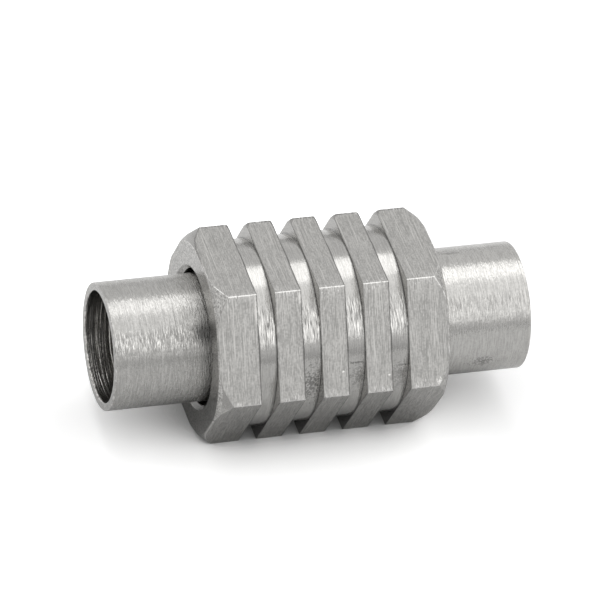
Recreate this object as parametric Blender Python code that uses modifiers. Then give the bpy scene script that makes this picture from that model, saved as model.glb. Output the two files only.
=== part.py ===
"""A magnetic clasp for a 6 mm round cord, made of a hexagonal sleeve and a plug.

The sleeve is turned from hexagon bar: a stepped bore at one end, four grooves round
its body, and a plain neck at the other end. The plug is a turned cylinder that slides
into the bore. Each half has a disc magnet on its inner face and a blind hole for the
cord at its outer end.

Metres, +Z up. The clasp lies on one flat of the hexagon with its axis along +X, the
plug at -X and the neck at +X, and the origin under its middle.
"""

import math

import bmesh
import bpy

# Overall sizes
OVERALL_LENGTH = 0.0238
BAR_ACROSS_FLATS = 0.01054
BODY_LENGTH = 0.0132
TUBE_DIAMETER = 0.0071

# Ends of the hexagonal body, turned to a cone that cuts its corners off
END_FACE_DIAMETER = 0.0107
END_CONE_DIAMETER = 0.0126

# Grooves round the body
GROOVE_COUNT = 4
GROOVE_PITCH = 0.0025
GROOVE_WIDTH = 0.001
GROOVE_DIAMETER = 0.01036

# Bore that takes the plug
BORE_DIAMETER = 0.0076
BORE_CHAMFER = 0.00025
PLUG_END_CLEARANCE = 0.0002

# Plug
PLUG_LENGTH = 0.0117

# Blind holes for the cord, one in each half
CORD_HOLE_DIAMETER = 0.0062
CORD_HOLE_DEPTH = 0.0075
TUBE_EDGE_CHAMFER = 0.00006
HOLE_EDGE_CHAMFER = 0.0001

# Disc magnets and the pockets that hold them
MAGNET_DIAMETER = 0.0055
MAGNET_THICKNESS = 0.002
MAGNET_EDGE = 0.00012
MAGNET_SIDE_GAP = 0.0001
MAGNET_BACK_GAP = 0.0001
PLUG_MAGNET_RECESS = 0.00006

# Sides of a turned surface. The first meridian is half a side round, so that each
# corner of the hexagon falls between two meridians.
TURNED_SIDES = 72
FIRST_MERIDIAN = math.pi / TURNED_SIDES
MERGE_DISTANCE = 1e-6
SHARP_ANGLE = math.radians(25)

# Places along the axis, measured from the middle of the clasp towards the neck
NECK_END = OVERALL_LENGTH / 2
PLUG_OUTER_END = -OVERALL_LENGTH / 2
PLUG_INNER_END = PLUG_OUTER_END + PLUG_LENGTH
BODY_BACK = BODY_LENGTH / 2
BODY_FRONT = -BODY_LENGTH / 2
BORE_FLOOR = PLUG_INNER_END + PLUG_END_CLEARANCE
MAGNET_POCKET_DEPTH = MAGNET_THICKNESS + MAGNET_BACK_GAP

# Radii
TUBE_RADIUS = TUBE_DIAMETER / 2
CORD_HOLE_RADIUS = CORD_HOLE_DIAMETER / 2
BORE_RADIUS = BORE_DIAMETER / 2
POCKET_RADIUS = MAGNET_DIAMETER / 2 + MAGNET_SIDE_GAP
END_FACE_RADIUS = END_FACE_DIAMETER / 2
END_CONE_RADIUS = END_CONE_DIAMETER / 2
GROOVE_RADIUS = GROOVE_DIAMETER / 2
END_CONE_LENGTH = END_CONE_RADIUS - END_FACE_RADIUS

COLLECTION_NAME = "magnetic_clasp"
CUTTER_COLLECTION_NAME = "cutters"


def clear_scene():
    """Removes every object that the file holds."""
    for thing in list(bpy.data.objects):
        bpy.data.objects.remove(thing, do_unlink=True)


def new_collection(name):
    """Returns an empty collection of that name, linked to the scene."""
    collection = bpy.data.collections.new(name)
    bpy.context.scene.collection.children.link(collection)
    return collection


def metal(name, colour, roughness):
    """Returns a metallic Principled material."""
    material = bpy.data.materials.new(name)
    material.use_nodes = True
    shader = material.node_tree.nodes["Principled BSDF"]
    shader.inputs["Base Color"].default_value = (*colour, 1.0)
    shader.inputs["Metallic"].default_value = 1.0
    shader.inputs["Roughness"].default_value = roughness
    return material


def new_object(name, mesh, collection, parent):
    """Links a mesh, or an empty where mesh is None, under its parent."""
    thing = bpy.data.objects.new(name, mesh)
    collection.objects.link(thing)
    thing.parent = parent
    return thing


def turned(name, profile, collection, parent):
    """Returns the solid that a profile of (place along the axis, radius) pairs sweeps.

    The profile starts and ends on the axis, and its outer side runs from +Z to -Z.
    """
    direction = (math.cos(FIRST_MERIDIAN), math.sin(FIRST_MERIDIAN))
    points = [(radius * direction[0], radius * direction[1], place) for place, radius in profile]
    edges = [(i, i + 1) for i in range(len(points) - 1)]
    mesh = bpy.data.meshes.new(name)
    mesh.from_pydata(points, edges, [])
    solid = new_object(name, mesh, collection, parent)
    screw = solid.modifiers.new("turn", "SCREW")
    screw.axis = "Z"
    screw.angle = 2 * math.pi
    screw.steps = TURNED_SIDES
    screw.render_steps = TURNED_SIDES
    screw.use_merge_vertices = True
    screw.merge_threshold = MERGE_DISTANCE
    return solid


def hexagon_bar(collection, parent):
    """Returns the bar that the sleeve is cut from, with a corner at +Y and flats at X."""
    corner_radius = BAR_ACROSS_FLATS / math.sqrt(3)
    bar_length = 1.5 * OVERALL_LENGTH
    mesh = bpy.data.meshes.new("hexagon_bar")
    shape = bmesh.new()
    bmesh.ops.create_cone(
        shape,
        cap_ends=True,
        segments=6,
        radius1=corner_radius,
        radius2=corner_radius,
        depth=bar_length,
    )
    shape.to_mesh(mesh)
    shape.free()
    bar = new_object("hexagon_bar", mesh, collection, parent)
    bar.hide_render = True
    bar.display_type = "WIRE"
    return bar


def disc(name, front, back, collection, parent):
    """Returns a disc magnet between two places on the axis, with its edges eased."""
    mesh = bpy.data.meshes.new(name)
    shape = bmesh.new()
    bmesh.ops.create_cone(
        shape,
        cap_ends=True,
        segments=TURNED_SIDES,
        radius1=MAGNET_DIAMETER / 2,
        radius2=MAGNET_DIAMETER / 2,
        depth=back - front,
    )
    shape.to_mesh(mesh)
    shape.free()
    magnet = new_object(name, mesh, collection, parent)
    magnet.location.z = (front + back) / 2
    ease = magnet.modifiers.new("eased edge", "BEVEL")
    ease.width = MAGNET_EDGE
    ease.segments = 1
    ease.limit_method = "ANGLE"
    ease.angle_limit = math.radians(60)
    return magnet


def groove_centres():
    """Returns the places of the grooves, from the neck's side to the plug's."""
    first = GROOVE_PITCH * (GROOVE_COUNT - 1) / 2
    return [first - GROOVE_PITCH * i for i in range(GROOVE_COUNT)]


def cord_hole_mouth(end, outwards):
    """Returns the profile of a tube's rim at end, from its hole's wall to its outside."""
    return [
        (end - outwards * HOLE_EDGE_CHAMFER, CORD_HOLE_RADIUS),
        (end, CORD_HOLE_RADIUS + HOLE_EDGE_CHAMFER),
        (end, TUBE_RADIUS - TUBE_EDGE_CHAMFER),
        (end - outwards * TUBE_EDGE_CHAMFER, TUBE_RADIUS),
    ]


def sleeve_profile():
    """Returns the sleeve's turned profile, from the neck's hole round to the bore."""
    hole_floor = NECK_END - CORD_HOLE_DEPTH
    profile = [(hole_floor, 0.0), (hole_floor, CORD_HOLE_RADIUS)]
    profile += cord_hole_mouth(NECK_END, 1)
    profile += [
        (BODY_BACK, TUBE_RADIUS),
        (BODY_BACK, END_FACE_RADIUS),
        (BODY_BACK - END_CONE_LENGTH, END_CONE_RADIUS),
    ]
    for centre in groove_centres():
        profile += [
            (centre + GROOVE_WIDTH / 2, END_CONE_RADIUS),
            (centre + GROOVE_WIDTH / 2, GROOVE_RADIUS),
            (centre - GROOVE_WIDTH / 2, GROOVE_RADIUS),
            (centre - GROOVE_WIDTH / 2, END_CONE_RADIUS),
        ]
    profile += [
        (BODY_FRONT + END_CONE_LENGTH, END_CONE_RADIUS),
        (BODY_FRONT, END_FACE_RADIUS),
        (BODY_FRONT, BORE_RADIUS + BORE_CHAMFER),
        (BODY_FRONT + BORE_CHAMFER, BORE_RADIUS),
        (BORE_FLOOR, BORE_RADIUS),
        (BORE_FLOOR, POCKET_RADIUS),
        (BORE_FLOOR + MAGNET_POCKET_DEPTH, POCKET_RADIUS),
        (BORE_FLOOR + MAGNET_POCKET_DEPTH, 0.0),
    ]
    return profile


def plug_profile():
    """Returns the plug's turned profile, from its magnet's pocket to its cord's hole."""
    pocket_floor = PLUG_INNER_END - PLUG_MAGNET_RECESS - MAGNET_POCKET_DEPTH
    hole_floor = PLUG_OUTER_END + CORD_HOLE_DEPTH
    profile = [
        (pocket_floor, 0.0),
        (pocket_floor, POCKET_RADIUS),
        (PLUG_INNER_END, POCKET_RADIUS),
        (PLUG_INNER_END, TUBE_RADIUS - BORE_CHAMFER),
        (PLUG_INNER_END - BORE_CHAMFER, TUBE_RADIUS),
    ]
    profile += reversed(cord_hole_mouth(PLUG_OUTER_END, -1))
    profile += [(hole_floor, CORD_HOLE_RADIUS), (hole_floor, 0.0)]
    return profile


def keep_shape(thing):
    """Replaces an object's mesh and modifiers by the mesh that they make."""
    graph = bpy.context.evaluated_depsgraph_get()
    made = bpy.data.meshes.new_from_object(thing.evaluated_get(graph))
    thing.modifiers.clear()
    thing.data = made


def finish(thing, material):
    """Keeps an object's final mesh, shades its turned faces smooth and paints it."""
    keep_shape(thing)
    thing.data.shade_smooth()
    thing.data.set_sharp_from_angle(angle=SHARP_ANGLE)
    thing.data.materials.clear()
    thing.data.materials.append(material)


def build():
    """Makes the clasp's four pieces."""
    clear_scene()
    pieces = new_collection(COLLECTION_NAME)
    cutters = new_collection(CUTTER_COLLECTION_NAME)
    steel = metal("brushed_stainless_steel", (0.60, 0.59, 0.57), 0.32)
    nickel = metal("nickel_plate", (0.66, 0.65, 0.62), 0.38)

    # The clasp's axis lies along +X, at half the bar's height over the surface.
    axis = new_object("clasp_axis", None, pieces, None)
    axis.location.z = BAR_ACROSS_FLATS / 2
    axis.rotation_euler.y = math.pi / 2

    # What slides out of the sleeve hangs on its own empty, on the same axis.
    slide = new_object("plug_slide", None, pieces, axis)

    sleeve = turned("sleeve", sleeve_profile(), pieces, axis)
    flats = sleeve.modifiers.new("flats", "BOOLEAN")
    flats.operation = "INTERSECT"
    flats.object = hexagon_bar(cutters, axis)
    finish(sleeve, steel)

    sleeve_magnet = disc("sleeve_magnet", BORE_FLOOR, BORE_FLOOR + MAGNET_THICKNESS, pieces, axis)
    finish(sleeve_magnet, nickel)

    plug = turned("plug", plug_profile(), pieces, slide)
    finish(plug, steel)

    plug_magnet_front = PLUG_INNER_END - PLUG_MAGNET_RECESS
    plug_magnet = disc("plug_magnet", plug_magnet_front - MAGNET_THICKNESS, plug_magnet_front, pieces, slide)
    finish(plug_magnet, nickel)


build()
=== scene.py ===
# %% [markdown]
# # A brushed steel magnetic clasp
#
# The real object closes a cord bracelet. A hexagonal sleeve, turned from bar, has four
# grooves round its body, a bore at one end and a round neck at the other. A plug slides
# into the bore, and a disc magnet in each half holds it there. The cord is glued into a
# hole at each outer end.
#
# The imported model gives the right sizes with plain faces. This lesson rebuilds the same
# four pieces as fine surfaces, with the small things that make metal look real: eased
# edges, brush lines, tool marks, burnished corners and a few stains. The bright corners are
# partly painted highlight, the torn bands hold painted glints, and some dark marks and
# corners are painted shade.

# %% Load the imported model
import math
from collections import namedtuple

import bpy
import numpy as np
from mathutils import Matrix, Vector


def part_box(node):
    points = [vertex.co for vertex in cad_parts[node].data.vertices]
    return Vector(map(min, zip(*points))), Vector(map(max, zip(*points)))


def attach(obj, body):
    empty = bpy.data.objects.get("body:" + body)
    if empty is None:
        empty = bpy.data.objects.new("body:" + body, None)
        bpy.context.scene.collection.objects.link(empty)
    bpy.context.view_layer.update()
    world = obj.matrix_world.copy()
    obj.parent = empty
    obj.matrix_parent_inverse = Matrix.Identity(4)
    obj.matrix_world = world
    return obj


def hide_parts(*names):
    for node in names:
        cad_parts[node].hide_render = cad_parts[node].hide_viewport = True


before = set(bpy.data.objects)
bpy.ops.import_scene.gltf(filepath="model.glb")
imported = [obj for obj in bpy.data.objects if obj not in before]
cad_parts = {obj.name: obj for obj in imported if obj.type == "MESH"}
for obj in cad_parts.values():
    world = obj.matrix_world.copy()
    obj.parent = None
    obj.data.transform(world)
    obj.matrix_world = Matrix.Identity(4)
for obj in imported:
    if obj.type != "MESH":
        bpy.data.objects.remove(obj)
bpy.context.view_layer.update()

# %% [markdown]
# ## Sizes
#
# Everything below is in millimetres until a mesh is made, because a machinist thinks of
# this object in millimetres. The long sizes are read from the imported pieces, so that the
# new surfaces can't drift away from them. The small ones are what a drawing would say.
#
# Each end of the hexagon is turned to a cone in two steps: a blunt one next to the end
# face, and a longer one outside it. CONE_BEND says where they meet, as a place behind the
# end face and a radius. CONE_LENGTH is how far back the cone reaches at a corner.

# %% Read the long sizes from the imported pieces
MM = 0.001

sleeve_low, sleeve_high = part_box("sleeve")
plug_low, plug_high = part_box("plug")
magnet_low, magnet_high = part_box("plug_magnet")
sleeve_magnet_low, sleeve_magnet_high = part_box("sleeve_magnet")

AXIS_HEIGHT = (sleeve_high.z - sleeve_low.z) / 2 / MM
APOTHEM = AXIS_HEIGHT
BODY_FRONT = sleeve_low.x / MM
BODY_BACK = -BODY_FRONT
NECK_END = sleeve_high.x / MM
PLUG_OUTER_END = plug_low.x / MM
PLUG_INNER_END = plug_high.x / MM
MAGNET_RADIUS = (magnet_high.z - magnet_low.z) / 2 / MM

TUBE_RADIUS = 3.55
CORD_HOLE_RADIUS = 3.1
CORD_HOLE_DEPTH = 7.5
BORE_RADIUS = 3.8
MOUTH_CHAMFER = 0.25
POCKET_RADIUS = 2.85
END_FACE_RADIUS = 5.35
CONE_BEND = (0.17, 5.63)
CONE_LENGTH = 0.735
GROOVE_RADIUS = 5.18
GROOVE_WIDTH = 1.0
GROOVE_CENTRES = (-3.75, -1.25, 1.25, 3.75)

print("apothem", round(APOTHEM, 3), "body", round(BODY_FRONT, 3), round(BODY_BACK, 3))
print("plug", round(PLUG_OUTER_END, 3), round(PLUG_INNER_END, 3))

# %% [markdown]
# ## The camera
#
# A catalogue photo of something this small is taken from far off with a long lens, so
# that the near end isn't swollen. The camera looks down at the clasp by 39 degrees, from
# a little towards the plug's end, and is turned a few degrees, so the clasp climbs to the
# right. The clasp lies a little to the right of the middle of the frame and below it.

# %% Set up the camera
CAMERA_ELEVATION = math.radians(39.28)
CAMERA_AZIMUTH = math.radians(-20.57)
CAMERA_ROLL = math.radians(7.554)
CAMERA_DISTANCE = 313.5 * MM
LENS = 340.0
AIM_ASIDE = -0.383 * MM
AIM_ABOVE = 1.402 * MM


def camera_axes(azimuth, elevation, roll):
    """Right, up and back of a camera on a sphere, turned about its view by the roll."""
    back = Vector(
        (
            math.sin(azimuth) * math.cos(elevation),
            -math.cos(azimuth) * math.cos(elevation),
            math.sin(elevation),
        )
    )
    level = Vector((math.cos(azimuth), math.sin(azimuth), 0.0))
    upright = back.cross(level)
    right = level * math.cos(roll) + upright * math.sin(roll)
    up = upright * math.cos(roll) - level * math.sin(roll)
    return right, up, back


camera_right, camera_up, camera_back = camera_axes(CAMERA_AZIMUTH, CAMERA_ELEVATION, CAMERA_ROLL)
clasp_centre = Vector((0.0, 0.0, AXIS_HEIGHT * MM))
aim = clasp_centre + camera_right * AIM_ASIDE + camera_up * AIM_ABOVE

camera_data = bpy.data.cameras.new("camera")
camera_data.lens = LENS
camera_data.clip_start = 0.01
camera = bpy.data.objects.new("camera", camera_data)
bpy.context.scene.collection.objects.link(camera)
turn = Matrix((camera_right, camera_up, camera_back)).transposed()
camera.matrix_world = Matrix.Translation(aim + camera_back * CAMERA_DISTANCE) @ turn.to_4x4()
bpy.context.scene.camera = camera
print("camera at, mm:", [round(c / MM, 1) for c in camera.matrix_world.translation])

# %% [markdown]
# ## Meridians
#
# Each steel piece is a turned profile, carried round the clasp's axis. On the sleeve the
# hexagon bar limits how far out the profile can reach, and that limit changes from one
# meridian to the next. So a surface is a grid: one column of points for each meridian,
# one row for each place along the profile. The meridians crowd at the bar's six corners,
# which are eased with a small radius, because bare knife edges never catch the light.

# %% Lay out the meridians
CORNER_EASE = 0.055
FLAT_STEPS = 56
EASE_STEPS = 3
EDGE_GUARD = 0.03


def bar_meridians():
    """Angles of the columns, from the corner at the front (-Y) towards +Z, in radians.

    On a flat the points are evenly spaced along the flat, at t from its middle, so their
    angle is atan(t / apothem). At a corner the angles step evenly through the small arc.
    """
    flat_end = (APOTHEM - CORNER_EASE) * math.tan(math.pi / 6)
    guard = flat_end - EDGE_GUARD
    along_flat = np.concatenate([[-flat_end], np.linspace(-guard, guard, FLAT_STEPS), [flat_end]])
    on_flat = np.arctan(along_flat / APOTHEM)
    corner_half = math.pi / 6 - math.atan(flat_end / APOTHEM)
    small_arc = math.pi / 6 + np.linspace(-corner_half, corner_half, 2 * EASE_STEPS + 1)[1:-1]
    one_side = np.concatenate([on_flat, small_arc])
    middles = math.pi / 6 + np.arange(6) * math.pi / 3
    return (middles[:, None] + one_side[None, :]).ravel()


def bar_reach(angles):
    """Distance from the axis to the bar's surface, for each angle.

    Off the middle of a flat by a, the flat is at apothem / cos(a). Near a corner, off it
    by d, the surface is an arc of radius e round a centre at c from the axis, and lies at
    c cos(d) + sqrt(e^2 - c^2 sin(d)^2).
    """
    off_middle = np.mod(angles, math.pi / 3) - math.pi / 6
    off_corner = math.pi / 6 - np.abs(off_middle)
    flat = APOTHEM / np.cos(off_middle)
    centre = (APOTHEM - CORNER_EASE) / math.cos(math.pi / 6)
    inside = CORNER_EASE**2 - (centre * np.sin(off_corner)) ** 2
    arc = centre * np.cos(off_corner) + np.sqrt(np.clip(inside, 0.0, None))
    flat_end = (APOTHEM - CORNER_EASE) * math.tan(math.pi / 6)
    on_arc = np.abs(off_middle) > math.atan(flat_end / APOTHEM)
    return np.where(on_arc, arc, flat), on_arc


bar_angles = bar_meridians()
reach, on_corner = bar_reach(bar_angles)
print("meridians", len(bar_angles), "reach, mm", round(reach.min(), 3), "to", round(reach.max(), 3))

# %% [markdown]
# ## Easing a profile
#
# A turned profile is drawn as straight runs between corners. No real corner is sharp: the
# tool leaves a small fillet in a groove, and tumbling eases every outer edge. So each
# corner becomes a short parabola, which starts and ends a set distance away from it, but
# never further than just under half a run. One more row on each side of it keeps the
# shading of the long runs flat.

# %% Ease every corner of a profile
ARC_STEPS = 3
GUARD_SHARE = 0.3
LONGEST_SETBACK = 0.42


def eased(corners, setbacks, wear_and_painted_light):
    """Rows of (place, radius) for each column, from corners and how far each is set back.

    corners holds (place, radius) for each column and each corner of the profile. Corner P
    has neighbours on both sides. A and B lie on the runs to them, at the setback t from P,
    which is at most LONGEST_SETBACK of the shorter run. The rows are
    (1-u)^2 A + 2u(1-u) P + u^2 B for u from 0 to 1, with a guard row just outside each
    end. Returns the rows, the wear and painted light of each one, which is 0 between the
    edges, and the number of the run that follows each row.
    """
    plain = np.zeros(len(corners))
    rows = [corners[:, 0]]
    edge = [plain]
    run_after = [0]
    for i in range(1, corners.shape[1] - 1):
        point = corners[:, i]
        to_last = corners[:, i - 1] - point
        to_next = corners[:, i + 1] - point
        last_length = np.linalg.norm(to_last, axis=1, keepdims=True)
        next_length = np.linalg.norm(to_next, axis=1, keepdims=True)
        wanted = np.reshape(setbacks[i], (-1, 1))
        setback = np.minimum(wanted, LONGEST_SETBACK * np.minimum(last_length, next_length))
        a = point + to_last / last_length * setback
        b = point + to_next / next_length * setback
        guard_a = np.minimum(EDGE_GUARD, GUARD_SHARE * (0.5 * last_length - setback))
        guard_b = np.minimum(EDGE_GUARD, GUARD_SHARE * (0.5 * next_length - setback))
        rows.append(a + to_last / last_length * guard_a)
        edge.append(plain)
        run_after.append(i - 1)
        for step in range(ARC_STEPS + 1):
            u = step / ARC_STEPS
            rows.append((1 - u) ** 2 * a + 2 * u * (1 - u) * point + u**2 * b)
            edge.append(plain + wear_and_painted_light[i])
            run_after.append(i - 1 if 2 * step < ARC_STEPS else i)
        rows.append(b + to_next / next_length * guard_b)
        edge.append(plain)
        run_after.append(i)
    rows.append(corners[:, -1])
    edge.append(plain)
    run_after.append(corners.shape[1] - 2)
    return np.stack(rows), np.array(edge), np.array(run_after)


# %% [markdown]
# ## From a grid to a mesh
#
# The first and the last row of every profile lie on the axis, so each closes into one
# point with a fan of triangles, and the columns close round into a ring. Whole arrays go
# into the mesh at once, which is far quicker than adding faces one by one.

# %% Turn rows and columns into faces
def ring_points(places, radii, angles):
    """A point at (place x, radius r) on the meridian at angle w lies at
    (x, -r cos w, axis height + r sin w)."""
    across = -radii * np.cos(angles)
    upward = AXIS_HEIGHT + radii * np.sin(angles)
    return np.stack([places, across, upward], axis=-1).reshape(-1, 3)


def grid_quads(row_count, column_count):
    """Point numbers of the quads between neighbouring rows, closed round in the columns."""
    row = np.arange(row_count - 1)[:, None]
    column = np.arange(column_count)[None, :]
    beside = (column + 1) % column_count
    corners = [
        row * column_count + column,
        (row + 1) * column_count + column,
        (row + 1) * column_count + beside,
        row * column_count + beside,
    ]
    return np.stack(np.broadcast_arrays(*corners), axis=-1).reshape(-1, 4)


def fan(pole, ring_start, column_count, turned_round):
    """Triangles from one pole to a ring of points, in either sense of turning."""
    column = np.arange(column_count)
    beside = (column + 1) % column_count
    pair = (ring_start + beside, ring_start + column)
    pair = pair if turned_round else pair[::-1]
    return np.stack([np.full(column_count, pole), *pair], axis=-1)


def signed_volume(points, triangles):
    """The sum of a . (b x c) / 6 over the triangles, which is positive if they face out."""
    a, b, c = (points[triangles[:, k]] for k in range(3))
    return float(np.einsum("ij,ij->i", a, np.cross(b, c)).sum() / 6)


def faces_that_point_out(points, row_count, column_count):
    """The quads between the rows and the fans to the last two points, the poles. If the
    volume inside them comes out negative, every face is turned round."""
    first_pole = len(points) - 2
    last_ring = (row_count - 1) * column_count
    faces = [
        grid_quads(row_count, column_count),
        fan(first_pole, 0, column_count, False),
        fan(first_pole + 1, last_ring, column_count, True),
    ]
    halves = [faces[0][:, :3], faces[0][:, [0, 2, 3]]]
    triangles = np.concatenate(halves + faces[1:])
    if signed_volume(points - points[first_pole], triangles) < 0:
        faces = [group[:, ::-1] for group in faces]
    return faces, len(triangles)


def fill_mesh(mesh, points, faces):
    """Puts points (in mm) and groups of faces into a mesh as whole arrays. Returns the
    point of every face corner, and how many corners each face has."""
    loops = np.concatenate([group.ravel() for group in faces])
    totals = np.concatenate([np.full(len(group), group.shape[1]) for group in faces])
    starts = np.concatenate([[0], np.cumsum(totals)[:-1]])
    mesh.vertices.add(len(points))
    mesh.vertices.foreach_set("co", (points * MM).astype(np.float32).ravel())
    mesh.loops.add(len(loops))
    mesh.loops.foreach_set("vertex_index", loops.astype(np.int32))
    mesh.polygons.add(len(starts))
    mesh.polygons.foreach_set("loop_start", starts.astype(np.int32))
    mesh.polygons.foreach_set("use_smooth", np.ones(len(starts), bool))
    mesh.update(calc_edges=True)
    return loops, totals


# %% [markdown]
# ## The lay of the metal
#
# A lathe tool and a brushing belt leave lines, and a finish needs to know which way they
# run. So each mesh carries a map. Its first coordinate is the angle round the axis. Its
# second is what a line keeps constant: the place along the axis on a tube or a flat, and
# the distance from the axis on a face that stands square to it. The map is stored for
# each face's own corners, so neighbouring faces may disagree, as they do on the object.
#
# Two more numbers are kept for each point. One is its wear and painted light: above 0 on a
# bright edge, partly rubbed wear and partly painted highlight, and below 0 where a corner or
# an edge gets painted shade. The other is how near it is to one of the bar's corners, where
# handling polishes the steel.

# %% Write the lay map, and the wear and painted light
SQUARE_ABOVE = 1.01


def strip_and_column(row_count, column_count):
    """The strip and the column of every face: first the strips between the rows, each
    numbered as its first row is, then the two fans."""
    strip = np.concatenate([
        np.repeat(np.arange(row_count - 1), column_count),
        np.repeat([row_count - 1, row_count], column_count),
    ])
    return strip, np.tile(np.arange(column_count), row_count + 1)


def square_strips(places, radii):
    """Which strips stand square to the axis: those that go further out than along, by more
    than the factor SQUARE_ABOVE, and both fans."""
    along = np.abs(np.diff(places, axis=0)).mean(1)
    outward = np.abs(np.diff(radii, axis=0)).mean(1)
    return np.concatenate([outward > SQUARE_ABOVE * along, [True, True]])


def write_wear_and_painted_light(mesh, edges, rub):
    """Stores the wear and painted light of each point, which is 1 on a bright edge, partly
    rubbed wear and partly painted highlight, -1 in a corner of painted shade and 0 between
    them, and the rub, which is 1 at a corner of the bar."""
    for attribute, values in (("wear_and_painted_light", edges), ("rub", rub)):
        values = np.concatenate([values.ravel(), [0.0, 0.0]]).astype(np.float32)
        mesh.attributes.new(attribute, "FLOAT", "POINT").data.foreach_set("value", values)


def write_lay(mesh, loops, totals, points, angles, strip, column, strip_is_square):
    """Stores (angle, place or radius) for every face corner, in radians and mm. The corner
    beside a face's own column gets that column's angle and the step to the next one, so
    that the map runs on over the seam."""
    face = np.repeat(np.arange(len(totals)), totals)
    radius = np.hypot(points[loops, 1], points[loops, 2] - AXIS_HEIGHT)
    second = np.where(strip_is_square[strip][face], radius, points[loops, 0])
    column_count = len(angles)
    on_ring = loops < len(points) - 2
    is_beside = on_ring & (loops % column_count != column[face])
    step = np.mod(np.roll(angles, -1) - angles, 2 * math.pi)
    first = angles[column[face]] + np.where(is_beside, step[column[face]], 0.0)
    lay = mesh.uv_layers.new(name="lay")
    lay.data.foreach_set("uv", np.stack([first, second], axis=-1).astype(np.float32).ravel())


# %% [markdown]
# ## One turned piece
#
# A piece is a list of profile corners. Each says where it is, how far its edge is set
# back, and which finish the run after it has. A radius may differ from one meridian to
# the next, which is all that turns a round profile into the hexagonal sleeve.

# %% Build a turned piece from its corners
def turned_piece(name, corners, angles, materials, bar_wear_and_painted_light=None):
    """A closed mesh from the corners of a profile and the angles of its meridians.

    A corner is (place, radius, setback, finish of the next run, wear and painted light), and
    each value but the finish may be an array, with one entry for each meridian.
    bar_wear_and_painted_light turns the radii of all points into the wear and painted light
    of the bar's own corners and the rub near them.
    """
    column_count = len(angles)
    shape = [np.stack(np.broadcast_arrays(c[0], c[1], angles)[:2], axis=-1) for c in corners]
    setbacks, finishes, wear_and_painted_light = ([c[k] for c in corners] for k in (2, 3, 4))
    rows, edge, run_after = eased(np.stack(shape, axis=1), setbacks, wear_and_painted_light)
    places, radii = rows[1:-1, :, 0], rows[1:-1, :, 1]
    row_count = len(places)
    poles = np.array([[rows[end, 0, 0], 0.0, AXIS_HEIGHT] for end in (0, -1)])
    points = np.concatenate([ring_points(places, radii, angles), poles])

    mesh = bpy.data.meshes.new(name)
    faces, triangle_count = faces_that_point_out(points, row_count, column_count)
    loops, totals = fill_mesh(mesh, points, faces)
    strip, column = strip_and_column(row_count, column_count)
    strip_is_square = square_strips(places, radii)
    write_lay(mesh, loops, totals, points, angles, strip, column, strip_is_square)

    edges = edge[1:-1]
    rub = np.zeros(places.shape)
    if bar_wear_and_painted_light is not None:
        on_bar_edge, rub = bar_wear_and_painted_light(radii)
        edges = np.where(on_bar_edge != 0, on_bar_edge, edges)
    write_wear_and_painted_light(mesh, edges, rub)

    for material in materials:
        mesh.materials.append(material)
    run_of_strip = np.concatenate([run_after[1:-2], [0, len(corners) - 2]])
    finish = np.array(finishes)[run_of_strip][strip].astype(np.int32)
    mesh.polygons.foreach_set("material_index", finish)
    mesh.update()
    piece = bpy.data.objects.new(name, mesh)
    bpy.context.scene.collection.objects.link(piece)
    print(name, "has", len(mesh.vertices), "points and", triangle_count, "triangles")
    return piece


# %% [markdown]
# ## Brushed and turned steel
#
# Brushed steel isn't one colour with blur. Fine lines lie side by side, each with its own
# tilt, so that a light is smeared across the lines and stays narrow along them. The
# finish stretches noise along the lines, lifts it as a bump, and lets the same noise vary
# the roughness and the tone. The shader's own anisotropy does the smearing that is too
# fine for the bump.

# %% Small helpers for shader nodes
def node(tree, kind, inputs=None, **settings):
    """Adds a node, sets its fields, and links or sets its inputs by name or number. The
    fields are the settings that aren't sockets."""
    made = tree.nodes.new(kind)
    for field, value in settings.items():
        setattr(made, field, value)
    for key, value in (inputs or {}).items():
        if isinstance(value, bpy.types.NodeSocket):
            tree.links.new(value, made.inputs[key])
        else:
            made.inputs[key].default_value = value
    return made


def maths(tree, operation, first, second=0.0, third=0.0):
    """The output of a Math node, for numbers or sockets."""
    inputs = {0: first, 1: second, 2: third}
    return node(tree, "ShaderNodeMath", inputs, operation=operation).outputs[0]


def ramp(tree, value, low, high, to_low=0.0, to_high=1.0):
    """Maps a value from one range to another, clamped at both ends."""
    inputs = {
        "Value": value,
        "From Min": low,
        "From Max": high,
        "To Min": to_low,
        "To Max": to_high,
    }
    return node(tree, "ShaderNodeMapRange", inputs).outputs["Result"]


def blend(tree, share, first, second):
    """Mixes two colours, or two sockets that hold colours. At a share of 1 the second one
    is all that is left."""
    mixed = node(tree, "ShaderNodeMix", {"Factor": share}, data_type="RGBA")
    for socket, value in ((mixed.inputs[6], first), (mixed.inputs[7], second)):
        if isinstance(value, bpy.types.NodeSocket):
            tree.links.new(value, socket)
        else:
            socket.default_value = value
    return mixed.outputs[2]


def shaded(tone, share):
    """A colour for a shader, from a tone made darker or lighter by a share."""
    return (*(min(1.0, c * share) for c in tone), 1.0)


# %% [markdown]
# All the texture comes from two kinds of noise. One has no direction, and makes clouds and
# grain. The other is drawn out along the lines of the metal: it is read at the lay's
# second coordinate, which stays the same along a line, and at the point's own height and
# depth, which change slowly along it. So no seam shows where the angle starts again.

# %% Two kinds of noise
SCRATCH_LINES = (18.0, 0.35)
FLECK_LINES = (20.0, 2.6)
GRAIN_SCALE = 9000.0
PATCH_SCALE = 3600.0
CLOUD_SCALE = 1100.0


def speckle(tree, position, scale, detail):
    """Noise without a direction, with features about 1 / scale metres across."""
    inputs = {"Vector": position, "Scale": scale, "Detail": detail}
    return node(tree, "ShaderNodeTexNoise", inputs).outputs[0]


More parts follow.
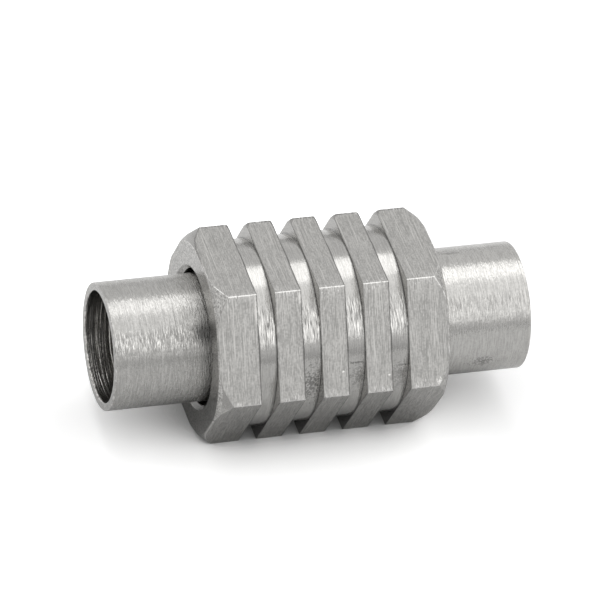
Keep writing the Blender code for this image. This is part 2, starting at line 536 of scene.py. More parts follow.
def streaks(tree, lay_second, position, across, along, detail, offset=0.0):
    """Noise drawn out along the lay: features 1 / across mm wide and 1 / along mm long.
    The offset moves it aside, so that two layers of streaks don't repeat each other."""
    split = node(tree, "ShaderNodeSeparateXYZ", {0: position})
    inputs = {
        0: maths(tree, "MULTIPLY_ADD", lay_second, across, offset),
        1: maths(tree, "MULTIPLY", split.outputs[1], along / MM),
        2: maths(tree, "MULTIPLY", split.outputs[2], along / MM),
    }
    vector = node(tree, "ShaderNodeCombineXYZ", inputs).outputs[0]
    noise = {"Vector": vector, "Scale": 1.0, "Detail": detail, "Roughness": 0.6}
    return node(tree, "ShaderNodeTexNoise", noise).outputs[0]


# %% [markdown]
# A belt or a tool leaves lines of two tones side by side, and here and there a scratch
# that runs on for millimetres. The tone swings about the finish's own tone by its contrast.

# %% Lines and scratches
LINE_SPAN = (0.75, 1.05)
BRIGHT_SCRATCH_SPAN = (0.63, 0.68)
DARK_SCRATCH_SPAN = (0.36, 0.31)
BRIGHT_SCRATCH_GAIN = 1.4


def lined_colour(tree, lines, long_scratches, tone, contrast, scratches):
    """The tone between tone (1 - contrast) and tone (1 + contrast), as the lines go, with
    the peaks of the long scratches laid over it bright and their valleys dark."""
    bright_line = ramp(tree, lines, *LINE_SPAN)
    colour = blend(tree, bright_line, shaded(tone, 1 - contrast), shaded(tone, 1 + contrast))
    bright_scratch = ramp(tree, long_scratches, *BRIGHT_SCRATCH_SPAN)
    dark_scratch = ramp(tree, long_scratches, *DARK_SCRATCH_SPAN)
    gain = BRIGHT_SCRATCH_GAIN * scratches
    colour = blend(tree, bright_scratch, colour, shaded(tone, 1 + gain))
    return blend(tree, dark_scratch, colour, shaded(tone, 1 - scratches))


# %% [markdown]
# An edge that sleeves and skin rub against turns bright, but never as one even line, and
# here the bright edges are partly that wear and partly painted highlight. The corners get
# painted shade, a darker tone where shade falls. Both start from the wear and painted light
# that the mesh carries, which patches and grain break up. Small bright flecks lie along the
# bar's corners, where the rub is.

# %% Bright edges, partly rubbed and partly painted highlight, and painted shade in corners
# The bright edge tone is partly burnished wear and partly painted highlight, and the corner share
# darkens the tone as painted shade.
BURNISH_AND_HIGHLIGHT = (0.82, 0.81, 0.79, 1.0)
BURNISH_AND_HIGHLIGHT_SHARE = 0.8
CORNER_SHADE_SHARE = 0.42
BRIGHT_EDGE_SPAN = (0.66, 0.8)
FLECK_SPAN = (0.69, 0.78)


def rubbed_and_highlit_parts(tree, wear_and_painted_light, patches, grain, flecks):
    """How bright a point is made, from 0 to 1, partly as rubbed wear and partly as painted
    highlight: on a bright edge it is how far patches + 0.3 w + 0.4 (grain - 0.5) reaches into
    BRIGHT_EDGE_SPAN, with w the wear and painted light, and elsewhere how far flecks + 0.2 rub
    reaches into FLECK_SPAN."""
    bright_edge = maths(tree, "MULTIPLY_ADD", wear_and_painted_light, 0.3, patches)
    bright_edge = maths(tree, "ADD", bright_edge, maths(tree, "MULTIPLY_ADD", grain, 0.4, -0.2))
    on_edge = maths(tree, "MULTIPLY", ramp(tree, wear_and_painted_light, 0.0, 0.25), ramp(tree, bright_edge, *BRIGHT_EDGE_SPAN))
    near_corner = node(tree, "ShaderNodeAttribute", attribute_name="rub").outputs["Fac"]
    flecks = maths(tree, "MULTIPLY_ADD", near_corner, 0.2, flecks)
    return maths(tree, "MAXIMUM", on_edge, ramp(tree, flecks, *FLECK_SPAN))


def painted_shade_parts(tree, wear_and_painted_light, patches):
    """How much painted shade a point gets, from 0 to 1: the wear and painted light below 0,
    thinned to about half of it where the patches are high."""
    in_corner = maths(tree, "MAXIMUM", maths(tree, "MULTIPLY", wear_and_painted_light, -1.0), 0.0)
    return maths(tree, "MULTIPLY", in_corner, ramp(tree, patches, 0.72, 0.45, 0.55, 1.0))


# %% [markdown]
# Where the tool shook, it tore the steel instead of cutting it. The torn metal is a band
# along the clasp, at one angle round the axis, with lines deeper than the lines beside it.
# Its colour holds painted glints: short bright dashes, and dark specks between them. A band
# is its middle and half width in degrees, the depth of its lines as a share of the others,
# its dark specks and bright glints as shares of the tone, and how many of them go into a
# millimetre along the lay.

# %% Torn metal with painted glints
TornGlints = namedtuple("TornGlints", "middle half_width depth dug raised dash")
TORN_GLINT_LINES = 17.0
DARK_SPECK_SPAN = (0.46, 0.38)
GLINT_SPAN = (0.54, 0.62)


def torn_glint_band(tree, first, torn_glints):
    """1 within half of the half width of the band's middle, in degrees round the axis, and
    0 past the half width."""
    aside = maths(tree, "SUBTRACT", first, math.radians(torn_glints.middle))
    aside = maths(tree, "ABSOLUTE", maths(tree, "WRAP", aside, math.pi, -math.pi))
    edge = math.radians(torn_glints.half_width)
    return ramp(tree, aside, edge, math.radians(0.5 * torn_glints.half_width))


def painted_glint_colour(tree, colour, band, glint_streaks, tone, torn_glints):
    """The colour with painted glints: dark specks, the tone times dug, and bright
    glints, the tone times glint.
    """
    dark_specks = maths(tree, "MULTIPLY", band, ramp(tree, glint_streaks, *DARK_SPECK_SPAN))
    glints = maths(tree, "MULTIPLY", band, ramp(tree, glint_streaks, *GLINT_SPAN))
    colour = blend(tree, dark_specks, colour, shaded(tone, torn_glints.dug))
    return blend(tree, glints, colour, shaded(tone, torn_glints.raised))


# %% [markdown]
# Years of handling leave their own marks: a stain where sweat dried in a groove, the thin
# line where a turning tool stopped, a few pits and a few bright nicks. Each one is an
# ellipse in the lay map with a ragged border, placed on the finish it belongs to.

# %% Place a mark on a finish
# The same ellipses also paint shade and a dark reflection, in the lists below.
MARK_SPAN = (1.3, 0.4)


def mark(tree, first, second, grain, raggedness, place, degrees, radius, half_width, half_length):
    """How much of a mark covers a point. The distance is
    sqrt((x / half width)^2 + (arc / half length)^2) + 2 raggedness (grain - 0.5), where x
    is the way from the mark's place along the axis and the arc is the way round it at the
    radius, in mm. The mark is whole up to 0.4 and gone at 1.3."""
    aside = maths(tree, "DIVIDE", maths(tree, "SUBTRACT", second, place), half_width)
    turned = maths(tree, "SUBTRACT", first, math.radians(degrees))
    turned = maths(tree, "WRAP", turned, math.pi, -math.pi)
    round_it = maths(tree, "MULTIPLY", turned, radius / half_length)
    aside_square = maths(tree, "MULTIPLY", aside, aside)
    square = maths(tree, "MULTIPLY_ADD", round_it, round_it, aside_square)
    ragged = maths(tree, "MULTIPLY_ADD", grain, 2 * raggedness, -raggedness)
    distance = maths(tree, "ADD", maths(tree, "SQRT", square), ragged)
    return ramp(tree, distance, *MARK_SPAN)


# %% [markdown]
# Now the parts go together. Every steel finish has the same recipe, and differs only in
# its numbers: how fine and how long its lines are, how deep its dashes, how much its tone
# swings. The shader's tangent comes from the lay map, so its own smear follows the lines.

# %% The recipe of every steel finish
def lined_height(tree, fine_lines, short_dashes, band, torn_glints):
    """The height of the surface, dashes + 0.4 lines, and in the torn band depth times it."""
    height = maths(tree, "MULTIPLY_ADD", fine_lines, 0.4, short_dashes)
    if torn_glints:
        gain = maths(tree, "MULTIPLY_ADD", band, torn_glints.depth - 1, 1.0)
        height = maths(tree, "MULTIPLY", height, gain)
    return height


def steel(name, tone, roughness, relief, fine=(22.0, 1.5), dashes=(15.0, 3.5), smear=0.7,
          contrast=0.2, scratches=0.2, marks=(), torn_glints=None):
    """Steel with lines along the lay. fine and dashes are (lines per mm, 1 / length in mm),
    relief is the depth of the dashes in mm, smear is how far a light is drawn out across
    the lines, contrast is the swing of tone between lines, and scratches is that of the
    few long ones among them."""
    material = bpy.data.materials.new(name)
    material.use_nodes = True
    tree = material.node_tree
    shader = tree.nodes["Principled BSDF"]
    lay = node(tree, "ShaderNodeUVMap", uv_map="lay").outputs[0]
    first, second = node(tree, "ShaderNodeSeparateXYZ", {0: lay}).outputs[:2]
    position = node(tree, "ShaderNodeTexCoord").outputs["Object"]
    wear_and_painted_light = node(tree, "ShaderNodeAttribute", attribute_name="wear_and_painted_light").outputs["Fac"]
    fine_lines = streaks(tree, second, position, *fine, detail=1.0)
    short_dashes = streaks(tree, second, position, *dashes, detail=2.0, offset=31.0)
    long_scratches = streaks(tree, second, position, *SCRATCH_LINES, detail=1.0, offset=57.0)
    flecks = streaks(tree, second, position, *FLECK_LINES, detail=2.0, offset=11.0)
    clouds = speckle(tree, position, CLOUD_SCALE, 4.0)
    patches = speckle(tree, position, PATCH_SCALE, 4.0)
    grain = speckle(tree, position, GRAIN_SCALE, 2.0)

    band = torn_glint_band(tree, first, torn_glints) if torn_glints else None
    height = lined_height(tree, fine_lines, short_dashes, band, torn_glints)
    relief_inputs = {"Height": height, "Strength": 1.0, "Distance": relief * MM}
    bump = node(tree, "ShaderNodeBump", relief_inputs)
    tree.links.new(bump.outputs[0], shader.inputs["Normal"])

    soft_share = maths(tree, "MULTIPLY_ADD", grain, 0.6, maths(tree, "MULTIPLY", clouds, 0.2))
    lines = maths(tree, "ADD", soft_share, fine_lines)
    rubbed_and_highlit = rubbed_and_highlit_parts(tree, wear_and_painted_light, patches, grain, flecks)
    rough = ramp(tree, lines, *LINE_SPAN, 1.15 * roughness, 0.85 * roughness)
    rough = maths(tree, "MULTIPLY_ADD", rubbed_and_highlit, -0.5 * roughness, rough)
    tree.links.new(rough, shader.inputs["Roughness"])

    colour = lined_colour(tree, lines, long_scratches, tone, contrast, scratches)
    # Painted shade in corners and along dark edges.
    colour = blend(tree, painted_shade_parts(tree, wear_and_painted_light, patches), colour, shaded(tone, CORNER_SHADE_SHARE))
    # Bright edges and flecks: partly rubbed wear, partly painted highlight.
    burnish_and_highlight = maths(tree, "MULTIPLY", rubbed_and_highlit, BURNISH_AND_HIGHLIGHT_SHARE)
    colour = blend(tree, burnish_and_highlight, colour, BURNISH_AND_HIGHLIGHT)
    # Painted glints and dark specks in the torn band.
    if torn_glints:
        glint_streaks = streaks(tree, second, position, TORN_GLINT_LINES, torn_glints.dash, detail=1.5, offset=83.0)
        colour = painted_glint_colour(tree, colour, band, glint_streaks, tone, torn_glints)
    # Marks: stains, pits and nicks, and painted shade and a painted dark reflection.
    for share, *spot in marks:
        covered = mark(tree, first, second, grain, *spot)
        colour = blend(tree, covered, colour, shaded(tone, share))
    tree.links.new(colour, shader.inputs["Base Color"])

    shader.inputs["Metallic"].default_value = 1.0
    shader.inputs["Anisotropic"].default_value = smear
    shader.inputs["Anisotropic Rotation"].default_value = 0.25
    tangent = node(tree, "ShaderNodeTangent", direction_type="UV_MAP", uv_map="lay").outputs[0]
    tree.links.new(tangent, shader.inputs["Tangent"])
    return material


# %% [markdown]
# The flats were drawn over a belt, across the clasp. The tubes and grooves were turned,
# and their lines run round it. The end faces were faced off with a fine feed, the cones
# with a coarser one, and the bored holes still show the rough path of the boring bar.
#
# A mark is a row of seven numbers: its share of the tone, how ragged it is, its place
# along the axis (or its radius, on a square face), its degrees from the front corner, the
# radius that it lies at, and its half width and half length in mm.

# %% Where the marks are
FLAT_NICKS = [
    (2.0, 0.8, 0.42, 12.0, 5.3, 0.07, 0.05),
    (2.0, 0.8, 3.04, 7.8, 5.3, 0.07, 0.05),
    (1.7, 0.9, -4.36, 52.0, 5.4, 0.07, 0.7),
    (1.7, 0.9, -1.86, 56.5, 5.6, 0.07, 0.3),
    (2.0, 3.0, 5.92, 1.5, 5.3, 0.14, 0.14),
]
GROOVE_STAINS = [
    (0.52, 3.5, -1.18, 2.5, GROOVE_RADIUS, 0.45, 0.7),
    (0.45, 2.6, 1.29, 15.2, GROOVE_RADIUS, 0.42, 0.06),
    (0.7, 3.5, 1.38, 4.5, GROOVE_RADIUS, 0.3, 0.55),
    (0.45, 2.6, 3.85, 10.5, GROOVE_RADIUS, 0.42, 0.06),
    (0.76, 3.5, 3.86, 3.0, GROOVE_RADIUS, 0.4, 0.6),
]
# Painted shade on the bottom of the bore's mouth chamfer, under the plug.
MOUTH_PAINTED_SHADE = [
    (0.42, 0.8, -6.475, -75.0, 3.9, 0.35, 4.0),
]
# Darker patches on the end cones: the two at 114 degrees, near the top corner, are painted shade,
# and the one at 4 degrees darkens the front cone near the front corner.
CONE_DARK_PATCHES = [
    (0.72, 0.4, -6.3, 4.0, 5.8, 1.2, 1.1),
    (0.66, 0.4, -6.3, 114.0, 5.8, 3.0, 2.2),
    (0.72, 0.4, 5.5, 114.0, 5.5, 1.0, 2.2),
]
NECK_PITS = [
    (0.55, 2.5, 9.3, -16.0, TUBE_RADIUS, 0.5, 0.3),
    (0.7, 1.0, 8.2, 104.0, TUBE_RADIUS, 0.5, 0.12),
]
# Painted shade and a painted dark reflection on the plug beside the sleeve's mouth: a long darker
# strip round it, and a dark patch at 44 degrees.
PLUG_PAINTED_SHADE = [
    (0.72, 0.2, -6.6, 25.0, TUBE_RADIUS, 0.5, 4.0),
    (0.3, 0.3, -6.75, 44.0, TUBE_RADIUS, 0.7, 0.66),
]

# %% [markdown]
# The tones are darker than those of polished steel, because fine lines throw part of the
# light aside. The neck's tone is painted lighter than the plug's, as painted light for the
# brighter paper in front of it, and the cones have a lighter tone too. The bored hole has
# the deepest lines, and the faced ends have the shallowest.

# %% Mix the finishes
STEEL_TONE = (0.485, 0.478, 0.462)
FLAT_TONE = (0.475, 0.468, 0.452)
# Painted light: the neck is lighter for the brighter paper in front of it.
NECK_TONE = (0.54, 0.532, 0.514)
BORED_TONE = (0.46, 0.45, 0.43)
CONE_TONE = (0.52, 0.512, 0.495)

NECK_TORN_GLINTS = TornGlints(middle=44.5, half_width=12.0, depth=1.4, dug=0.82, raised=1.28, dash=2.2)
GROOVE_TORN_GLINTS = TornGlints(middle=43.0, half_width=15.0, depth=2.2, dug=0.46, raised=1.65, dash=1.5)
PLUG_TORN_GLINTS = TornGlints(middle=42.0, half_width=12.0, depth=1.7, dug=0.74, raised=1.75, dash=2.4)

brushed_flat = steel("brushed_flat", FLAT_TONE, roughness=0.36, relief=0.006,
                     fine=(30.0, 2.0), contrast=0.2, scratches=0.24, marks=FLAT_NICKS)
turned_neck = steel("turned_neck", NECK_TONE, roughness=0.22, relief=0.032,
                    dashes=(16.0, 2.4), contrast=0.12, scratches=0.12, marks=NECK_PITS,
                    torn_glints=NECK_TORN_GLINTS)
turned_groove = steel("turned_groove", STEEL_TONE, roughness=0.2, relief=0.009,
                      contrast=0.09, scratches=0.1, marks=GROOVE_STAINS, torn_glints=GROOVE_TORN_GLINTS)
faced_end = steel("faced_end", STEEL_TONE, roughness=0.22, relief=0.003, fine=(16.0, 5.0),
                  smear=0.4, contrast=0.32, scratches=0.05, marks=MOUTH_PAINTED_SHADE)
turned_cone = steel("turned_cone", CONE_TONE, roughness=0.26, relief=0.007,
                    fine=(14.0, 7.0), dashes=(12.0, 8.0), contrast=0.32, scratches=0.1,
                    marks=CONE_DARK_PATCHES)
bored_hole = steel("bored_hole", BORED_TONE, roughness=0.22, relief=0.05, fine=(4.0, 0.1),
                   dashes=(8.0, 0.2), contrast=0.6, scratches=0.5)
turned_plug = steel("turned_plug", STEEL_TONE, roughness=0.28, relief=0.030,
                    dashes=(16.0, 2.4), contrast=0.13, scratches=0.15, marks=PLUG_PAINTED_SHADE,
                    torn_glints=PLUG_TORN_GLINTS)
FLAT, TUBE, GROOVE, FACE, BORED, CONE = range(6)
sleeve_finishes = [brushed_flat, turned_neck, turned_groove, faced_end, bored_hole, turned_cone]
plug_finishes = [brushed_flat, turned_plug, turned_groove, faced_end, bored_hole]
print("steel finishes:", [finish.name for finish in sleeve_finishes + [turned_plug]])

# %% [markdown]
# ## The sleeve
#
# The sleeve is one piece of bar, so it is one mesh. Its profile starts in the pocket of
# its magnet, runs out through the bore, over the hexagonal body and along the neck, and
# ends at the floor of the cord's hole. Where the end cone meets a flat, the place of that
# corner depends on the bar's reach, and the edge bends into the scallops of a real nut.

# %% Shape the end cones
SMALLEST_CONE = 0.03


def end_cone():
    """An end cone on each meridian: the radius of the face and of the bend, and how far
    behind the face the bend is and the bar's surface is.

    From the face's radius to the bend's the cone goes back evenly, and from there evenly
    to CONE_LENGTH at a corner of the bar. On a flat the bar's reach cuts both short, but
    leaves each step at least SMALLEST_CONE of radius.
    """
    bend_place, bend_radius = CONE_BEND
    face_reach = np.minimum(END_FACE_RADIUS, reach - 2 * SMALLEST_CONE)
    bend_reach = np.minimum(bend_radius, reach - SMALLEST_CONE)
    bend = bend_place / (bend_radius - END_FACE_RADIUS) * (bend_reach - face_reach)
    corner_reach = APOTHEM / math.cos(math.pi / 6)
    cone_slope = (CONE_LENGTH - bend_place) / (corner_reach - bend_radius)
    cone = bend + cone_slope * (reach - bend_reach)
    return face_reach, bend_reach, bend, cone


face_reach, bend_reach, bend, cone = end_cone()
print("the cone goes back, mm:", round(cone.min(), 3), "to", round(cone.max(), 3))

# %% [markdown]
# The brightness of an edge isn't the same all round it. On the scalloped edge of the cone
# and on the rim of the end face it comes from a table: degrees from the front corner, and
# the value there, with straight lines between. Above 0 is a bright edge, partly rubbed wear
# and partly painted highlight, and below 0 is painted shade. At the back of the clasp the
# bar's corners are rounder, so the edges of the grooves are eased more as they come near to
# one, and a thin dark line of painted shade runs along those corners.

# %% Place the wear and painted light round the bar
SCALLOP_WEAR_AND_PAINTED_LIGHT = (
    [-60, -58, -2, 2, 24, 36, 58, 62, 86, 94, 118, 180, 298],
    [-0.5, 1.0, 1.0, -0.1, -0.1, -0.6, -0.6, 1.0, 0.9, -0.8, -0.8, 0.3, 0.3],
)
FACE_WEAR_AND_HIGHLIGHT = ([-60, 80, 86, 120, 128, 298], [0.0, 0.0, 1.0, 1.0, 0.2, 0.0])
BACK_COSINE = -0.2
ROUNDED_WIDTH = 0.45
RUBBED_WIDTH = 0.7
DARK_EDGE_WIDTH = 0.08

degrees_round = np.mod(np.degrees(bar_angles) + 60, 360) - 60
off_middle = np.abs(np.mod(bar_angles, math.pi / 3) - math.pi / 6)
to_corner = APOTHEM * (math.tan(math.pi / 6) - np.tan(off_middle))
at_back = np.cos(bar_angles) < BACK_COSINE
rounded = np.clip(1 - to_corner / ROUNDED_WIDTH, 0.0, 1.0) * at_back
print("meridians at the back:", int(at_back.sum()))


def bar_wear_and_painted_light(radii):
    """The wear and painted light of the bar's own corners, which is 1 on the eased corners at
    the front, a bright edge that is partly rubbed wear and partly painted highlight, and -1,
    a thin line of painted shade, within DARK_EDGE_WIDTH of a corner at the back; and the rub,
    which falls evenly from 1 at a corner to 0 at RUBBED_WIDTH from it. Both are 0 where a
    row isn't on the bar."""
    on_bar = np.isclose(radii, reach, atol=1e-3)
    on_edge = np.where(at_back, to_corner < DARK_EDGE_WIDTH, on_corner)
    edge = np.where(at_back, -1.0, 1.0) * (on_bar & on_edge)
    return edge, on_bar * np.clip(1 - to_corner / RUBBED_WIDTH, 0.0, 1.0)


# %% [markdown]
# With the cones and the wear at hand, the sleeve is one list of corners. It could also be
# the common part of a turned solid and a bar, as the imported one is. But then each edge
# would need a bevel of its own, and the lines of the metal would have no map to follow.
#
# The setbacks have names, from the sharpest edge to the round floor that a drill leaves.

# %% Build the sleeve
SHARP = 0.03
TUMBLED = 0.035
FILLET = 0.045
SOFT = 0.05
RIM = 0.06
HOLE_RIM = 0.08
BACK_BEND = 0.09
ROUND = 0.1
DRILLED = 0.15
BACK_NEAR_EASE = 0.1
BACK_FAR_EASE = 0.24
MAGNET_BACK_GAP = 0.1


def groove_corners(centre):
    """The four corners of a groove, whose edges are rounder at the back of the bar. All four
    get painted shade, the last one half as much.
    """
    near = centre - GROOVE_WIDTH / 2
    far = centre + GROOVE_WIDTH / 2
    return [
        (near, reach, SOFT + BACK_NEAR_EASE * rounded, GROOVE, -1.0),
        (near, GROOVE_RADIUS, FILLET, GROOVE, -1.0),
        (far, GROOVE_RADIUS, FILLET, GROOVE, -1.0),
        (far, reach, SHARP + BACK_FAR_EASE * rounded, FLAT, -0.5),
    ]


def sleeve_corners():
    """The sleeve's profile, with the bar's reach as the radius of every flat. A row is
    (place, radius, setback, finish of the next run, wear and painted light)."""
    scallop_wear_and_painted_light = np.interp(degrees_round, *SCALLOP_WEAR_AND_PAINTED_LIGHT)
    face_wear_and_highlight = np.interp(degrees_round, *FACE_WEAR_AND_HIGHLIGHT)
    scallop_ease = np.where(degrees_round < 0, SOFT, SHARP)
    pocket_floor = sleeve_magnet_high.x / MM + MAGNET_BACK_GAP
    bore_floor = sleeve_magnet_low.x / MM
    hole_floor = NECK_END - CORD_HOLE_DEPTH
    corners = [
        (pocket_floor, 0.0, 0.0, BORED, 0.0),
        (pocket_floor, POCKET_RADIUS, SOFT, BORED, 0.0),
        (bore_floor, POCKET_RADIUS, SHARP, BORED, 0.0),
        (bore_floor, BORE_RADIUS, ROUND, BORED, 0.0),
        (BODY_FRONT + MOUTH_CHAMFER, BORE_RADIUS, SHARP, FACE, 0.0),
        (BODY_FRONT, BORE_RADIUS + MOUTH_CHAMFER, SHARP, FACE, 0.3),
        (BODY_FRONT, face_reach, SHARP, CONE, face_wear_and_highlight),
        (BODY_FRONT + bend, bend_reach, RIM, CONE, 0.0),
        (BODY_FRONT + cone, reach, scallop_ease, FLAT, scallop_wear_and_painted_light),
    ]
    for centre in GROOVE_CENTRES:
        corners += groove_corners(centre)
    corners += [
        (BODY_BACK - cone, reach, SHARP, CONE, 0.6),
        (BODY_BACK - bend, bend_reach, BACK_BEND, CONE, 0.0),
        (BODY_BACK, face_reach, TUMBLED, FACE, 0.4),
        # -1 at the foot of the neck is painted shade in the inner corner.
        (BODY_BACK, TUBE_RADIUS, ROUND, TUBE, -1.0),
        (NECK_END, TUBE_RADIUS, RIM, FACE, 0.5),
        (NECK_END, CORD_HOLE_RADIUS, HOLE_RIM, BORED, 0.6),
        (hole_floor, CORD_HOLE_RADIUS, DRILLED, BORED, 0.0),
        (hole_floor, 0.0, 0.0, BORED, 0.0),
    ]
    return corners


sleeve = turned_piece("sleeve_body", sleeve_corners(), bar_angles, sleeve_finishes, bar_wear_and_painted_light)
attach(sleeve, "sleeve")
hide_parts("sleeve")

# %% [markdown]
# ## The plug
#
# The plug is round all over, so its meridians are evenly spaced. Its profile starts in
# the pocket of its magnet, turns over the rim and runs back outside to the cord's hole.

# %% Build the plug
PLUG_MERIDIANS = 288


def plug_corners():
    """The plug's profile, from its magnet's pocket to the floor of its cord's hole."""
    pocket_floor = magnet_low.x / MM - MAGNET_BACK_GAP
    hole_floor = PLUG_OUTER_END + CORD_HOLE_DEPTH
    return [
        (pocket_floor, 0.0, 0.0, BORED, 0.0),
        (pocket_floor, POCKET_RADIUS, SOFT, BORED, 0.0),
        (PLUG_INNER_END, POCKET_RADIUS, SOFT, FACE, 0.3),
        (PLUG_INNER_END, TUBE_RADIUS - MOUTH_CHAMFER, ROUND, FACE, 0.5),
        (PLUG_INNER_END - MOUTH_CHAMFER, TUBE_RADIUS, ROUND, TUBE, 0.5),
        (PLUG_OUTER_END, TUBE_RADIUS, RIM, FACE, 0.5),
        (PLUG_OUTER_END, CORD_HOLE_RADIUS, HOLE_RIM, BORED, 0.6),
        (hole_floor, CORD_HOLE_RADIUS, DRILLED, BORED, 0.0),
        (hole_floor, 0.0, 0.0, BORED, 0.0),
    ]


plug_angles = np.arange(PLUG_MERIDIANS) * 2 * math.pi / PLUG_MERIDIANS
plug = turned_piece("plug_body", plug_corners(), plug_angles, plug_finishes)
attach(plug, "plug")
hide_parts("plug")

# %% [markdown]
# ## The magnets
#
# Each magnet is a pressed and sintered disc with dull nickel plating. It is softer in its
# reflection than the steel, with a fine grain and a few dark pits.

# %% Make the nickel finish
PLATING_DARK = (0.5, 0.49, 0.46, 1.0)
PLATING_LIGHT = (0.76, 0.75, 0.72, 1.0)
PIT_TONE = (0.08, 0.078, 0.07, 1.0)
PIT_SCALE = 2600.0
PIT_DEPTH = 0.006


def nickel():
    """Dull grained plating with scattered pits. The height is the grain less the pits."""
    material = bpy.data.materials.new("nickel_plating")
    material.use_nodes = True
    tree = material.node_tree
    shader = tree.nodes["Principled BSDF"]
    position = node(tree, "ShaderNodeTexCoord").outputs["Object"]
    grain = speckle(tree, position, GRAIN_SCALE, 3.0)
    pitted = ramp(tree, speckle(tree, position, PIT_SCALE, 1.0), 0.68, 0.74)
    colour = blend(tree, grain, PLATING_DARK, PLATING_LIGHT)
    colour = blend(tree, pitted, colour, PIT_TONE)
    rough = ramp(tree, grain, 0.3, 0.7, 0.5, 0.34)
    height = maths(tree, "SUBTRACT", grain, pitted)
    relief_inputs = {"Height": height, "Strength": 1.0, "Distance": PIT_DEPTH * MM}
    bump = node(tree, "ShaderNodeBump", relief_inputs)
    tree.links.new(bump.outputs[0], shader.inputs["Normal"])
    tree.links.new(colour, shader.inputs["Base Color"])
    tree.links.new(rough, shader.inputs["Roughness"])
    shader.inputs["Metallic"].default_value = 1.0
    return material


nickel_plating = nickel()
print("magnets are finished in", nickel_plating.name)

# %% [markdown]
# A disc is the shortest profile of all: two faces and a rim, whose edges are eased because
# the powder is pressed in a die that has no sharp corners.

# %% Build both discs
MAGNET_MERIDIANS = 144
MAGNET_EDGE = 0.12
magnet_angles = np.arange(MAGNET_MERIDIANS) * 2 * math.pi / MAGNET_MERIDIANS


def magnet(name, body, node_name, low, high):
    """A disc with an eased rim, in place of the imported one. Its profile is the two flat
    faces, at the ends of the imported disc, and the rim between them."""
    front, back = low.x / MM, high.x / MM
    corners = [
        (front, 0.0, 0.0, 0, 0.0),
        (front, MAGNET_RADIUS, MAGNET_EDGE, 0, 0.0),
        (back, MAGNET_RADIUS, MAGNET_EDGE, 0, 0.0),
        (back, 0.0, 0.0, 0, 0.0),
    ]
    disc = turned_piece(name, corners, magnet_angles, [nickel_plating])
    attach(disc, body)
    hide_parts(node_name)


magnet("plug_magnet_disc", "plug", "plug_magnet", magnet_low, magnet_high)
magnet("sleeve_magnet_disc", "sleeve", "sleeve_magnet", sleeve_magnet_low, sleeve_magnet_high)

# %% [markdown]
# ## Floor and light
#
# Bare metal shows nothing but its surroundings, so the light is most of the picture. The
# clasp lies on a white sweep, a plain square that is wide enough to have no edge in view.

# %% Lay the floor
FLOOR_HALF = 2.5
floor_mesh = bpy.data.meshes.new("floor")
floor_corners = np.array([(-1, -1, 0), (1, -1, 0), (1, 1, 0), (-1, 1, 0)]) * FLOOR_HALF
floor_mesh.from_pydata(floor_corners.tolist(), [], [(0, 1, 2, 3)])
floor = bpy.data.objects.new("floor", floor_mesh)
bpy.context.scene.collection.objects.link(floor)
print("floor is", 2 * FLOOR_HALF, "m wide")

# %% [markdown]
# A catalogue photo lets its paper burn out to white while the metal stays grey, which one
# paper can't do. So the paper has two tones: the camera sees the burnt-out one, and the
# steel reflects the other. Both get darker where the clasp shuts out the light, which an
# ambient occlusion node finds within a few millimetres. The reflected paper also has
# painted light: it is a little lighter behind the clasp, where the sweep would curve up.

# %% Mix the paper that the steel reflects
PAPER = 0.67
PAPER_BEHIND = 0.82
BEHIND_SPAN = (0.005, 0.020)
SHADE_REACH = 3 * MM
SHADE_SPAN = (0.15, 0.7)
DEEPEST_SHADE = 0.4

floor_material = bpy.data.materials.new("white_sweep")
floor_material.use_nodes = True
floor_tree = floor_material.node_tree
floor_tree.nodes.remove(floor_tree.nodes["Principled BSDF"])
floor_place = node(floor_tree, "ShaderNodeTexCoord").outputs["Object"]
to_right, toward_back = node(floor_tree, "ShaderNodeSeparateXYZ", {0: floor_place}).outputs[:2]
occlusion = node(floor_tree, "ShaderNodeAmbientOcclusion", {"Distance": SHADE_REACH}, samples=12)
openness = occlusion.outputs["AO"]
# Painted light: the reflected paper is lighter behind the clasp.
paper_tone = ramp(floor_tree, toward_back, *BEHIND_SPAN, PAPER, PAPER_BEHIND)
shade = ramp(floor_tree, openness, *SHADE_SPAN, DEEPEST_SHADE, 1.0)
reflected_tone = maths(floor_tree, "MULTIPLY", paper_tone, shade)
reflected_paper = node(floor_tree, "ShaderNodeBsdfDiffuse", {"Color": reflected_tone})

# %% [markdown]
# The seen paper goes from a dark line right under the clasp to full white in two steps.
# Past the ends of both tubes it is held back, because a paper that is too bright swallows
# the soft shadow that the tubes throw there.

# %% Mix the paper that the camera sees
BURNT_OUT = 1.25
UNDER_CLASP = 0.38 * BURNT_OUT
BESIDE_CLASP = 1.04 * BURNT_OUT
LAST_STEP = 0.12 * BURNT_OUT
CLOSE_SPAN = (0.20, 0.42)
FURTHER_SPAN = (0.42, 0.75)
NECK_SIDE_SPAN = (0.006, 0.011)
PLUG_SIDE_SPAN = (-0.009, -0.014)
UNLIMITED = 1.5
NECK_SIDE_LIMIT = 1.09
PLUG_SIDE_LIMIT = 1.2

close_by = ramp(floor_tree, openness, *CLOSE_SPAN, UNDER_CLASP, BESIDE_CLASP)
further_off = ramp(floor_tree, openness, *FURTHER_SPAN, 0.0, LAST_STEP)
neck_side = ramp(floor_tree, to_right, *NECK_SIDE_SPAN, UNLIMITED, NECK_SIDE_LIMIT)
plug_side = ramp(floor_tree, to_right, *PLUG_SIDE_SPAN, UNLIMITED, PLUG_SIDE_LIMIT)
burnt_limit = maths(floor_tree, "MINIMUM", neck_side, plug_side)
burnt_tone = maths(floor_tree, "ADD", close_by, further_off)
burnt_tone = maths(floor_tree, "MINIMUM", burnt_tone, burnt_limit)
seen_paper = node(floor_tree, "ShaderNodeBsdfDiffuse", {"Color": burnt_tone})

# %% [markdown]
# A Light Path node tells a ray that comes straight from the camera from one that has
# bounced off the steel, so it can pick the paper.

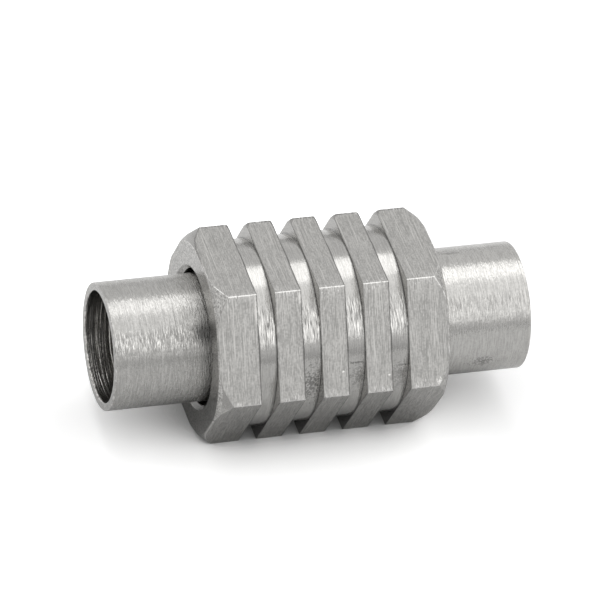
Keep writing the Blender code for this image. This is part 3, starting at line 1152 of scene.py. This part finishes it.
# %% Put both papers on the floor
is_seen = node(floor_tree, "ShaderNodeLightPath").outputs["Is Camera Ray"]
both_papers = {0: is_seen, 1: reflected_paper.outputs[0], 2: seen_paper.outputs[0]}
paper = node(floor_tree, "ShaderNodeMixShader", both_papers)
floor_output = floor_tree.nodes["Material Output"]
floor_tree.links.new(paper.outputs[0], floor_output.inputs["Surface"])
floor_mesh.materials.append(floor_material)

# %% [markdown]
# Three soft lights make the bands that run along the tubes. The broad one hangs right over
# the clasp, the narrow core light behind it, and the front light stands before the clasp,
# a little lower than the camera. The metal shows a light's brightness and not its power,
# so each light is set by its radiance: a plain emitter of the radiance L and the area A
# gives off pi A L watts.

# %% Hang the lights
LIGHTS_ASIDE = 0.30


def soft_light(name, angle, distance, size, radiance):
    """A rectangular light that faces the clasp. angle is measured from the front (-Y)
    horizon over the top, and radiance is what a mirror would show of it."""
    data = bpy.data.lights.new(name, "AREA")
    data.shape = "RECTANGLE"
    data.size, data.size_y = size
    data.energy = radiance * math.pi * size[0] * size[1]
    light = bpy.data.objects.new(name, data)
    toward = Vector((0.0, -math.cos(angle), math.sin(angle)))
    facing = toward.to_track_quat("Z", "X").to_matrix().to_4x4()
    centre = clasp_centre + toward * distance + Vector((LIGHTS_ASIDE, 0.0, 0.0))
    light.matrix_world = Matrix.Translation(centre) @ facing
    bpy.context.scene.collection.objects.link(light)
    print(name, round(data.energy, 2), "W")


soft_light("broad_light", math.radians(87), distance=0.60, size=(1.00, 1.0), radiance=0.48)
soft_light("core_light", math.radians(110.5), distance=0.55, size=(0.29, 0.9), radiance=0.71)
soft_light("front_light", math.radians(33), distance=0.60, size=(0.27, 0.9), radiance=0.56)

# %% [markdown]
# All round hangs the white cloth of the tent. It glows evenly overhead and is darker
# towards the horizon, which gives the sides of the clasp their darker edges.

# %% Light the tent round them
TENT_HIGH = 0.80
TENT_LOW = 0.45
TENT_TURNS_AT = 0.22


def tent_world():
    """A white world whose strength rises from TENT_LOW at the horizon to TENT_HIGH, where
    the upward part of the direction is TENT_TURNS_AT."""
    world = bpy.data.worlds.new("tent")
    world.use_nodes = True
    tree = world.node_tree
    direction = node(tree, "ShaderNodeTexCoord").outputs["Generated"]
    upward = node(tree, "ShaderNodeSeparateXYZ", {0: direction}).outputs[2]
    glow = ramp(tree, upward, 0.0, TENT_TURNS_AT, TENT_LOW, TENT_HIGH)
    background = tree.nodes["Background"]
    tree.links.new(glow, background.inputs["Strength"])
    background.inputs["Color"].default_value = (1.0, 1.0, 1.0, 1.0)
    return world


bpy.context.scene.world = tent_world()
bpy.context.scene.view_settings.view_transform = "Standard"
print("world:", bpy.context.scene.world.name)
